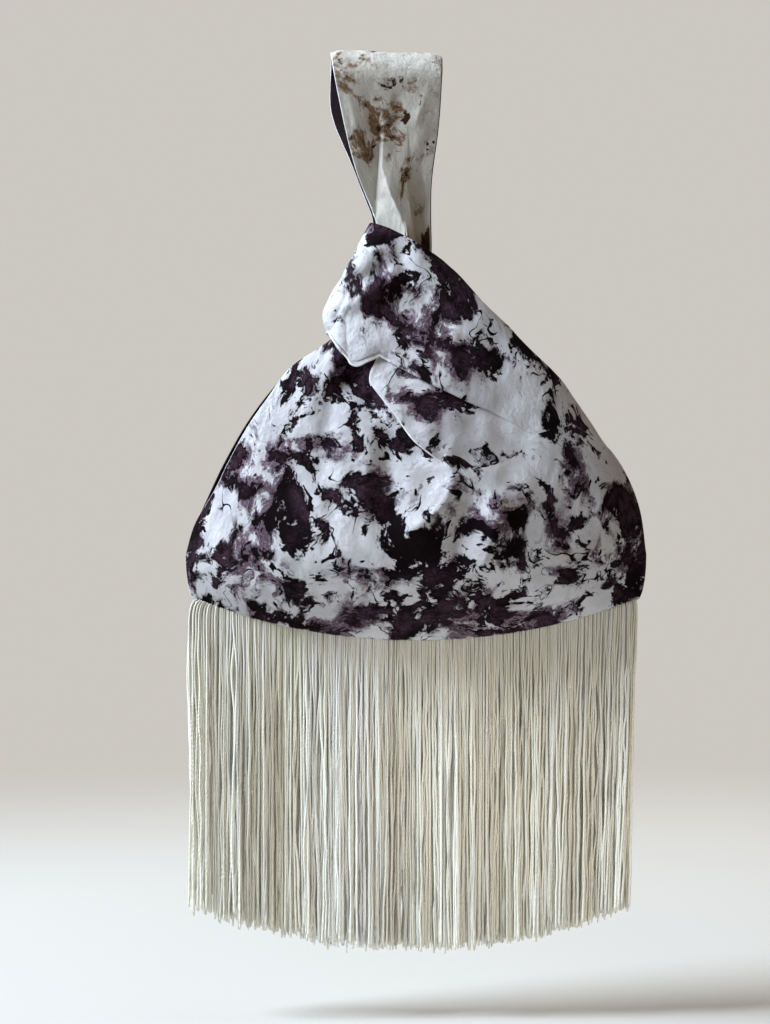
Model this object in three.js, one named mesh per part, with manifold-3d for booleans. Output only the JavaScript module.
// A knotted cotton bag: two printed panels with arms, the long handle drawn through the short one,
// and a fringe of cords sewn into the bottom seam. Units are millimetres.
// The origin is the middle of the handle's inner face, where it rests on a rail.
// Z is up, X is to the right of someone facing the bag, Y points away from them.
import * as THREE from 'three';
import Module from 'manifold-3d';

// Cloth
const PRINT_CLOTH = 1.0;
const LINING_CLOTH = 0.8;
const PLY_GAP = 0.35;

// Long handle, from the rail it rests on down to the fold above the knot
const RAIL_DIAMETER = 25;
const RAIL_CLEARANCE = 0.3;
const HANDLE_WIDTH = 61;
const FOLD_DROP = 77;
const JOIN_DROP = 34;
const SADDLE_FACETS = 9;

// Neck, where the arms pass up through the short handle
const NECK_WIDTH = 33;
const NECK_OFFSET = 8.5;
const NECK_GAP = 0.25;
const FOLD_CLEARANCE = 0.35;

// Pouch
const POUCH_WIDTH = 261.5;
const POUCH_OFFSET = 17;
const POUCH_DEPTH = 68;
const WIDEST_DROP = 282;
const SEAM_DROP = 331;
const CORNER_INSET = 5.75;
const SEAM_RADIUS = 350;
const BOTTOM_ROLL = 55;
const ARMHOLE_OPENING = 15;
const SIDE_SEAM_GAP = 0.7;
const LINING_FLOOR_GAP = 0.6;
const MIDDLE_GAP = 0.4;

// Short handle, a band from the right shoulder that turns round the neck
const BAND_CLEARANCE = 0.9;
const BAND_ROOT_DROP = 205;
const BAND_ROOT_WIDTH = 52;
const KNOT_TOP_DROP = 97;
const KNOT_FOOT_DROP = 163;
const KNOT_BULGE = 11;
const WRAP_SEAM_GAP = 0.4;

// Fringe
const TAPE_THICKNESS = 1.2;
const TAPE_EDGE = 0.5;
const TAPE_HEIGHT = 7;
const TAPE_REVEAL = 1.2;
const FRINGE_LENGTH = 174.5;
const FRINGE_SECTIONS = 12;
const CORDS_PER_ROW = 9;
const CORD_GAP = 0.36;
const CORD_HEAD = 1.0;
const HEADING = 3;
const CORD_SPREAD_DROP = 8;
const CORD_TOP_GAP = 0.6;

// Sizes that follow from the ones above
const PLIES = PRINT_CLOTH + PLY_GAP + LINING_CLOTH;
const FOLD_RADIUS = NECK_GAP + PLIES + 0.1;
const NECK_DROP = FOLD_DROP + FOLD_RADIUS + FOLD_CLEARANCE;
const SADDLE_RADIUS = RAIL_DIAMETER / 2 + RAIL_CLEARANCE;
const SEAM_WIDTH = POUCH_WIDTH - 2 * CORNER_INSET;
const SEAM_HALF = TAPE_THICKNESS / 2 + PLY_GAP + PRINT_CLOTH;
const BAND_LIFT = BAND_CLEARANCE + PLIES;
const SEAM_LEFT = POUCH_OFFSET - SEAM_WIDTH / 2;
const SEAM_RIGHT = POUCH_OFFSET + SEAM_WIDTH / 2;
const CORD_PITCH = SEAM_WIDTH / FRINGE_SECTIONS / CORDS_PER_ROW;
const CORD = CORD_PITCH - CORD_GAP;

// Shape of the pouch. Each pair is a share of the height from neck to widest line, and a share of
// the way from the neck's size to the size at the widest line.
const LEFT_SPREAD = [
  [0, 0], [0.16, 0.014], [0.25, 0.071], [0.337, 0.137], [0.367, 0.17], [0.387, 0.192],
  [0.421, 0.28], [0.48, 0.443], [0.604, 0.642], [0.738, 0.792], [0.871, 0.91], [0.93, 0.962], [1, 1],
];
const RIGHT_SPREAD = [
  [0, 0], [0.16, 0], [0.211, 0.111], [0.362, 0.35], [0.506, 0.59], [0.649, 0.753],
  [0.753, 0.884], [0.869, 0.967], [1, 1],
];
const PANEL_SPREAD = [
  [0, 0], [0.16, 0.01], [0.248, 0.045], [0.362, 0.185], [0.506, 0.43], [0.649, 0.675],
  [0.753, 0.857], [0.869, 0.967], [1, 1],
];
const FULLNESS = [
  [0, 0], [0.16, 0.19], [0.3, 0.3], [0.397, 0.43], [0.496, 0.57], [0.63, 0.75], [0.79, 0.905],
  [0.95, 1], [1, 1],
];
const ARMHOLE = [
  [0, 0], [0.16, 0.72], [0.3, 0.95], [0.39, 0.72], [0.5, 0.9], [0.65, 0.8], [0.79, 0.4], [0.92, 0], [1, 0],
];

const lerp = THREE.MathUtils.lerp;
const clamp = THREE.MathUtils.clamp;
const { Manifold, Mesh } = await Module().then((wasm) => {
  wasm.setup();
  return wasm;
});

// A smooth value along sorted pairs of position and value, level beyond both ends.
function through(pairs) {
  const slopes = pairs.map((pair, i) => {
    const before = pairs[Math.max(i - 1, 0)];
    const after = pairs[Math.min(i + 1, pairs.length - 1)];
    return (after[1] - before[1]) / (after[0] - before[0]);
  });
  return (at) => {
    const i = clamp(pairs.findIndex((pair) => pair[0] >= at), 1, pairs.length - 1);
    const span = pairs[i][0] - pairs[i - 1][0];
    const t = at > pairs[i][0] ? 1 : clamp((at - pairs[i - 1][0]) / span, 0, 1);
    const ease = t * t * (3 - 2 * t);
    const leave = slopes[i - 1] * span * t * (1 - t) * (1 - t);
    const arrive = slopes[i] * span * t * t * (1 - t);
    return lerp(pairs[i - 1][1], pairs[i][1], ease) + leave - arrive;
  };
}

const leftSpread = through(LEFT_SPREAD);
const rightSpread = through(RIGHT_SPREAD);
const panelSpread = through(PANEL_SPREAD);
const fullness = through(FULLNESS);
const armhole = through(ARMHOLE);

// Height of the bottom seam, a shallow arc.
function seamZ(x) {
  const off = x - POUCH_OFFSET;
  return SEAM_RADIUS - Math.sqrt(SEAM_RADIUS ** 2 - off ** 2) - SEAM_DROP;
}

// How far the rounded lower corner draws in below the widest line.
function cornerInset(drop) {
  const low = -seamZ(SEAM_LEFT);
  const t = clamp((drop - WIDEST_DROP) / (low - WIDEST_DROP), 0, 1);
  return CORNER_INSET * (1 - Math.sqrt(1 - t * t));
}

const shareOf = (drop) => clamp((drop - NECK_DROP) / (WIDEST_DROP - NECK_DROP), 0, 1);

function leftEdge(drop) {
  const neck = NECK_OFFSET - NECK_WIDTH / 2;
  const widest = POUCH_OFFSET - POUCH_WIDTH / 2;
  return lerp(neck, widest, leftSpread(shareOf(drop))) + cornerInset(drop);
}

function rightEdge(drop, spread) {
  const neck = NECK_OFFSET + NECK_WIDTH / 2;
  const widest = POUCH_OFFSET + POUCH_WIDTH / 2;
  return lerp(neck, widest, spread(shareOf(drop))) - cornerInset(drop);
}

// Half the distance between the outer faces of the free edges.
function edgeHalf(drop) {
  const share = shareOf(drop);
  const seam = clamp((drop - WIDEST_DROP) / (SEAM_DROP - WIDEST_DROP) * 1.6, 0, 1);
  const closed = lerp(SIDE_SEAM_GAP / 2, SEAM_HALF, seam);
  const neck = lerp(FOLD_RADIUS, closed, clamp(share / 0.9, 0, 1));
  return neck + armhole(share) * ARMHOLE_OPENING / 2;
}

// Half the depth of the pouch, from its middle plane to the outer face of the print.
function depth(x, z) {
  const drop = -z;
  const left = leftEdge(drop);
  const right = rightEdge(drop, rightSpread);
  const across = clamp(Math.abs((2 * x - left - right) / (right - left)), 0, 1);
  const round = (1 - across ** 2.4) ** 0.7;
  const rise = clamp((z - seamZ(x)) / BOTTOM_ROLL, 0, 1);
  const full = lerp(FOLD_RADIUS, POUCH_DEPTH / 2, fullness(shareOf(drop)));
  const edge = edgeHalf(drop);
  return edge + (full - edge) * round * Math.sin(Math.PI / 2 * rise);
}

// Unit normals of a grid of points, by differences along and across it.
function gridNormals(grid) {
  const last = grid.length - 1;
  return grid.map((row, i) => row.map((point, j) => {
    const along = grid[Math.min(i + 1, last)][j].clone().sub(grid[Math.max(i - 1, 0)][j]);
    const across = row[Math.min(j + 1, row.length - 1)].clone().sub(row[Math.max(j - 1, 0)]);
    return along.cross(across).normalize();
  }));
}

// The grid moved along its normals, kept on its own side of the middle plane.
function offsetGrid(grid, normals, distance, side) {
  return grid.map((row, i) => row.map((point, j) => {
    const moved = point.clone().addScaledVector(normals[i][j], distance);
    return moved.setY(side * Math.max(side * moved.y, MIDDLE_GAP / 2));
  }));
}

// One closed sheet between two grids of the same size.
function shell(faceA, faceB) {
  const rows = faceA.length;
  const cols = faceA[0].length;
  const points = [...faceA.flat(), ...faceB.flat()];
  const at = (side, i, j) => side * rows * cols + i * cols + j;
  const index = [];
  const quad = (a, b, c, d) => index.push(a, b, c, a, c, d);
  for (let i = 0; i < rows - 1; i += 1) {
    for (let j = 0; j < cols - 1; j += 1) {
      quad(at(0, i, j), at(0, i, j + 1), at(0, i + 1, j + 1), at(0, i + 1, j));
      quad(at(1, i, j), at(1, i + 1, j), at(1, i + 1, j + 1), at(1, i, j + 1));
    }
    quad(at(0, i, 0), at(0, i + 1, 0), at(1, i + 1, 0), at(1, i, 0));
    quad(at(0, i + 1, cols - 1), at(0, i, cols - 1), at(1, i, cols - 1), at(1, i + 1, cols - 1));
  }
  for (let j = 0; j < cols - 1; j += 1) {
    quad(at(0, 0, j + 1), at(0, 0, j), at(1, 0, j), at(1, 0, j + 1));
    quad(at(0, rows - 1, j), at(0, rows - 1, j + 1), at(1, rows - 1, j + 1), at(1, rows - 1, j));
  }
  return facingOut(points, index);
}

// Geometry from points and triangles, turned the right way out.
function facingOut(points, index) {
  let volume = 0;
  for (let i = 0; i < index.length; i += 3) {
    const [a, b, c] = [points[index[i]], points[index[i + 1]], points[index[i + 2]]];
    volume += a.dot(b.clone().cross(c));
  }
  const order = volume < 0 ? index.slice().reverse() : index;
  const geometry = new THREE.BufferGeometry();
  geometry.setAttribute('position', new THREE.Float32BufferAttribute(points.flatMap((p) => p.toArray()), 3));
  geometry.setIndex(order);
  geometry.computeVertexNormals();
  return geometry;
}

// The printed panel's outer face, rows from the bottom seam up to the neck.
function panelGrid(side) {
  const cornerRows = [0, 0.14, 0.3, 0.52, 0.76];
  const upperShares = [1, 0.92, 0.83, 0.73, 0.63, 0.55, 0.485, 0.435, 0.395, 0.36, 0.31, 0.22, 0.11, 0];
  const columns = Array.from({ length: 14 }, (_, j) => (1 - Math.cos(Math.PI * j / 13)) / 2);
  const lower = cornerRows.map((t) => columns.map((u) => {
    const low = -seamZ(SEAM_LEFT);
    const drop = lerp(low, WIDEST_DROP, t);
    const x = lerp(leftEdge(drop), rightEdge(drop, panelSpread), u);
    const z = lerp(seamZ(clamp(x, SEAM_LEFT, SEAM_RIGHT)), -WIDEST_DROP, t);
    return new THREE.Vector3(x, side * depth(x, z), z);
  }));
  const upper = upperShares.map((share) => columns.map((u) => {
    const drop = lerp(NECK_DROP, WIDEST_DROP, share);
    const x = lerp(leftEdge(drop), rightEdge(drop, panelSpread), u);
    return new THREE.Vector3(x, side * depth(x, -drop), -drop);
  }));
  return [...lower, ...upper];
}

// Print and lining of one panel. The lining starts two rows up and closes with a floor of its own.
function panelPlies(side) {
  const face = panelGrid(side);
  const normals = gridNormals(face);
  const inward = -Math.sign(normals[9][7].y * side);
  const print = shell(face, offsetGrid(face, normals, inward * PRINT_CLOTH, side));
  const outer = offsetGrid(face, normals, inward * (PRINT_CLOTH + PLY_GAP), side).slice(2);
  const inner = offsetGrid(face, normals, inward * PLIES, side).slice(2);
  const floorY = side * LINING_FLOOR_GAP / 2;
  const floorUnder = outer[0].map((p) => new THREE.Vector3(p.x, floorY, p.z));
  const floorOver = outer[0].map((p) => new THREE.Vector3(p.x, floorY, p.z + LINING_CLOTH));
  return { print, lining: shell([floorUnder, ...outer], [floorOver, ...inner]) };
}

// The short handle's outer face on one side: the band over the shoulder, then the turn round the neck.
function bandGrid(side) {
  const rootLow = new THREE.Vector2(POUCH_OFFSET + 53, BAND_ROOT_DROP);
  const knotLow = new THREE.Vector2(leftEdge(KNOT_FOOT_DROP - 15) - 4, KNOT_FOOT_DROP);
  const middle = rootLow.clone().lerp(knotLow, 0.5);
  const lower = new THREE.SplineCurve([
    rootLow,
    middle.clone().lerp(rootLow, 0.45).add(new THREE.Vector2(0, 1)),
    middle.clone().lerp(knotLow, 0.45).add(new THREE.Vector2(0, 1)),
    knotLow.clone().add(new THREE.Vector2(12, 8)),
    knotLow,
  ]);
  const rootHighDrop = BAND_ROOT_DROP + BAND_ROOT_WIDTH * 0.21;
  const throatDrop = lerp(NECK_DROP, WIDEST_DROP, 0.16);
  const knotTop = new THREE.Vector2(leftEdge(KNOT_TOP_DROP) + 5, KNOT_TOP_DROP);
  const edge = [0, 0.25, 0.5, 0.75, 1].map((t) => {
    const drop = lerp(rootHighDrop, throatDrop, t);
    return new THREE.Vector2(rightEdge(drop, rightSpread), drop);
  });
  const upper = new THREE.SplineCurve([...edge, knotTop]);
  const stations = Array.from({ length: 11 }, (_, i) => i / 10);
  const shares = Array.from({ length: 7 }, (_, j) => j / 6);
  const flat = stations.map((t) => shares.map((q) => {
    const p = lower.getPoint(t).lerp(upper.getPoint(t), q);
    return new THREE.Vector3(p.x, side * (depth(p.x, -p.y) + BAND_LIFT), -p.y);
  }));
  const turn = [0.25, 0.5, 0.75, 1].map((t) => shares.map((q, j) => {
    const start = flat[flat.length - 1][j];
    const half = Math.abs(start.y);
    const angle = t * Math.acos(WRAP_SEAM_GAP / 2 / half);
    const reach = KNOT_BULGE * Math.sin(angle);
    const rise = lerp(6.5, 4, q) * Math.sin(angle);
    return new THREE.Vector3(start.x - reach, side * half * Math.cos(angle), start.z + rise);
  }));
  return [...flat, ...turn];
}

// Print and lining of one half of the short handle.
function bandPlies(side) {
  const face = bandGrid(side);
  const normals = gridNormals(face);
  const inward = -Math.sign(normals[4][3].y * side);
  const square = (grid) => {
    const seam = grid[grid.length - 1];
    seam.forEach((p) => p.setY(side * WRAP_SEAM_GAP / 2));
    return grid;
  };
  const layer = (distance) => square(offsetGrid(face, normals, inward * distance, side));
  return {
    print: shell(face, layer(PRINT_CLOTH)),
    lining: shell(layer(PRINT_CLOTH + PLY_GAP), layer(PLIES)),
  };
}

// The long handle's inner face seen from the side, from the fold up one side and over the rail.
function handlePath() {
  const lean = Math.asin((SADDLE_RADIUS - NECK_GAP) / (FOLD_DROP - SADDLE_RADIUS));
  const step = (Math.PI + 2 * lean) / SADDLE_FACETS;
  const reach = SADDLE_RADIUS / Math.cos(step / 2);
  const arc = Array.from({ length: SADDLE_FACETS + 1 }, (_, i) => {
    const angle = -lean + i * step;
    return new THREE.Vector2(-reach * Math.cos(angle), -SADDLE_RADIUS + reach * Math.sin(angle));
  });
  const foot = new THREE.Vector2(-NECK_GAP, -FOLD_DROP);
  const rising = [0, 0.25, 0.5, 0.75].map((t) => foot.clone().lerp(arc[0], t));
  return { foot, rising, arc };
}

// A path moved sideways, keeping its distance at every corner.
function offsetPath(path, distance) {
  const normal = (a, b) => new THREE.Vector2(a.y - b.y, b.x - a.x).normalize();
  return path.map((p, i) => {
    const before = normal(path[Math.max(i - 1, 0)], path[Math.max(i, 1)]);
    const after = normal(path[Math.min(i, path.length - 2)], path[Math.min(i + 1, path.length - 1)]);
    const mitre = before.clone().add(after).divideScalar(1 + before.dot(after));
    return p.clone().addScaledVector(mitre, distance);
  });
}

// Rows across the handle for a path, gathered toward the neck.
function handleGrid(path) {
  return path.map((p) => {
    const t = clamp((FOLD_DROP + p.y) / (FOLD_DROP - SADDLE_RADIUS), 0, 1);
    const gather = Math.sin(Math.PI / 2 * t);
    const width = lerp(NECK_WIDTH, HANDLE_WIDTH, gather);
    const centre = lerp(NECK_OFFSET, 0, gather);
    return [-0.5, -1 / 6, 1 / 6, 0.5].map((u) => new THREE.Vector3(centre + u * width, p.x, p.y));
  });
}

// One cloth of the handle between two distances from its inner face. Its foot is cut round, so it
// can turn about the fold without meeting the neck.
function handlePly(path, near, far) {
  const face = (distance) => {
    const line = offsetPath(path, distance);
    const y = line[0].x;
    const cut = -FOLD_DROP - Math.sqrt(Math.max(FOLD_RADIUS ** 2 - y ** 2, 0));
    return handleGrid([new THREE.Vector2(y, cut), ...line]);
  };
  return shell(face(near), face(far));
}

function handlePlies() {
  const { rising, arc } = handlePath();
  const top = arc[arc.length - 1];
  const foot = new THREE.Vector2(NECK_GAP, -FOLD_DROP);
  const joinAt = (drop) => top.clone().lerp(foot, (top.y + drop) / (FOLD_DROP + top.y));
  const front = [...rising, ...arc, joinAt(JOIN_DROP)];
  const backRise = [0.3, 0.65].map((t) => foot.clone().lerp(joinAt(JOIN_DROP + PLY_GAP), t));
  const back = [foot, ...backRise, joinAt(JOIN_DROP + PLY_GAP)];
  const backLine = back.map((p) => new THREE.Vector2(-p.x, p.y));
  const mirrored = (geometry) => {
    const position = geometry.attributes.position;
    const points = Array.from({ length: position.count }, (_, i) => (
      new THREE.Vector3(position.getX(i), -position.getY(i), position.getZ(i))
    ));
    return facingOut(points, Array.from(geometry.index.array));
  };
  const layers = { lining: [0, LINING_CLOTH], print: [LINING_CLOTH + PLY_GAP, PLIES] };
  const cut = (path, [near, far]) => handlePly(path, near, far);
  return {
    frontPrint: cut(front, layers.print),
    frontLining: cut(front, layers.lining),
    backPrint: mirrored(cut(backLine, layers.print)),
    backLining: mirrored(cut(backLine, layers.lining)),
  };
}

// Level of the cords' heads, just under the tape's thin lower edge.
const headZ = (x) => seamZ(x) - TAPE_REVEAL - CORD_TOP_GAP;

// The tape the cords hang from, a strip between the panels that shows below the seam.
function fringeTape() {
  const stations = Array.from({ length: 15 }, (_, i) => lerp(SEAM_LEFT + 3, SEAM_RIGHT - 3, i / 14));
  const rows = [[-TAPE_REVEAL, TAPE_EDGE], [PRINT_CLOTH, TAPE_THICKNESS], [TAPE_HEIGHT, TAPE_THICKNESS]];
  const face = (side) => rows.map(([rise, thickness]) => (
    stations.map((x) => new THREE.Vector3(x, side * thickness / 2, seamZ(x) + rise))
  ));
  return shell(face(-1), face(1));
}

// A closed four-sided prism through a list of rings.
function prism(rings) {
  const index = [];
  for (let i = 0; i < rings.length - 1; i += 1) {
    for (let k = 0; k < 4; k += 1) {
      const a = i * 4 + k;
      const b = i * 4 + (k + 1) % 4;
      index.push(a, b, b + 4, a, b + 4, a + 4);
    }
  }
  const end = (rings.length - 1) * 4;
  index.push(0, 2, 1, 0, 3, 2, end, end + 1, end + 2, end, end + 2, end + 3);
  return facingOut(rings.flat(), index);
}

function solidOf(geometry) {
  const mesh = new Mesh({
    numProp: 3,
    vertProperties: Float32Array.from(geometry.attributes.position.array),
    triVerts: Uint32Array.from(geometry.index.array),
  });
  mesh.merge();
  return new Manifold(mesh);
}

function geometryOf(solid) {
  const mesh = solid.getMesh();
  const geometry = new THREE.BufferGeometry();
  const step = mesh.numProp;
  const points = [];
  for (let i = 0; i < mesh.vertProperties.length; i += step) {
    points.push(mesh.vertProperties[i], mesh.vertProperties[i + 1], mesh.vertProperties[i + 2]);
  }
  geometry.setAttribute('position', new THREE.Float32BufferAttribute(points, 3));
  geometry.setIndex(Array.from(mesh.triVerts));
  geometry.computeVertexNormals();
  return geometry;
}

// One cord: a thin head caught in the seam, swelling to its full size a little below.
function cord(x, side, number) {
  const ring = (z, y, halfX, halfY) => [[-1, -1], [1, -1], [1, 1], [-1, 1]].map(([a, b]) => (
    new THREE.Vector3(x + a * halfX, y + b * halfY, z)
  ));
  const top = headZ(x);
  const uneven = 2.6 * Math.sin(number * 2.4 + side) + 1.8 * Math.sin(number * 5.1);
  const fullY = side * (CORD / 2 + CORD_GAP / 4);
  return prism([
    ring(top - HEADING / 3, side * CORD_HEAD / 4, CORD * 0.36, CORD_HEAD / 4.5),
    ring(top - CORD_SPREAD_DROP, fullY, CORD / 2, CORD / 2),
    ring(top - FRINGE_LENGTH + uneven, fullY, CORD * 0.44, CORD * 0.42),
  ]);
}

// One section of the fringe: two staggered rows of cords joined by a slice of their heading.
function fringeSection(section) {
  const width = SEAM_WIDTH / FRINGE_SECTIONS;
  const left = SEAM_LEFT + section * width;
  const ends = [left + CORD_GAP / 2, left + width - CORD_GAP / 2];
  const face = (side) => [0, 1].map((t) => [0, 0.5, 1].map((u) => {
    const x = lerp(ends[0], ends[1], u);
    const y = side * lerp(CORD_HEAD / 2, CORD_HEAD, t);
    return new THREE.Vector3(x, y, headZ(x) - t * HEADING);
  }));
  const pieces = [solidOf(shell(face(-1), face(1)))];
  for (let i = 0; i < CORDS_PER_ROW; i += 1) {
    const number = section * CORDS_PER_ROW + i;
    pieces.push(solidOf(cord(left + (i + 0.5) * CORD_PITCH, -1, number)));
    if (i < CORDS_PER_ROW - 1) {
      pieces.push(solidOf(cord(left + (i + 1) * CORD_PITCH, 1, number)));
    }
  }
  return geometryOf(Manifold.union(pieces));
}

const printCotton = new THREE.MeshStandardMaterial({ color: 0xb9b2b6, roughness: 0.9 });
const strapCotton = new THREE.MeshStandardMaterial({ color: 0xb5a894, roughness: 0.9 });
const liningCotton = new THREE.MeshStandardMaterial({ color: 0x34262d, roughness: 0.95 });
const tapeCotton = new THREE.MeshStandardMaterial({ color: 0x9a968a, roughness: 0.95 });
const cordRayon = new THREE.MeshStandardMaterial({ color: 0xdcdacc, roughness: 0.6 });

const bag = new THREE.Group();
bag.name = 'japanese_knot_bag';

function add(name, geometry, material) {
  const mesh = new THREE.Mesh(geometry, material);
  mesh.name = name;
  bag.add(mesh);
}

const frontPlies = panelPlies(-1);
const backPlies = panelPlies(1);
add('front_panel', frontPlies.print, printCotton);
add('back_panel', backPlies.print, printCotton);
add('front_lining', frontPlies.lining, liningCotton);
add('back_lining', backPlies.lining, liningCotton);

const frontBand = bandPlies(-1);
const backBand = bandPlies(1);
add('short_handle_front', frontBand.print, printCotton);
add('short_handle_back', backBand.print, printCotton);
add('short_handle_front_lining', frontBand.lining, liningCotton);
add('short_handle_back_lining', backBand.lining, liningCotton);

const handle = handlePlies();
add('long_handle_front', handle.frontPrint, strapCotton);
add('long_handle_back', handle.backPrint, strapCotton);
add('long_handle_front_lining', handle.frontLining, liningCotton);
add('long_handle_back_lining', handle.backLining, liningCotton);

add('fringe_tape', fringeTape(), tapeCotton);
for (let section = 0; section < FRINGE_SECTIONS; section += 1) {
  add(`fringe_${String(section + 1).padStart(2, '0')}`, fringeSection(section), cordRayon);
}

export default bag;
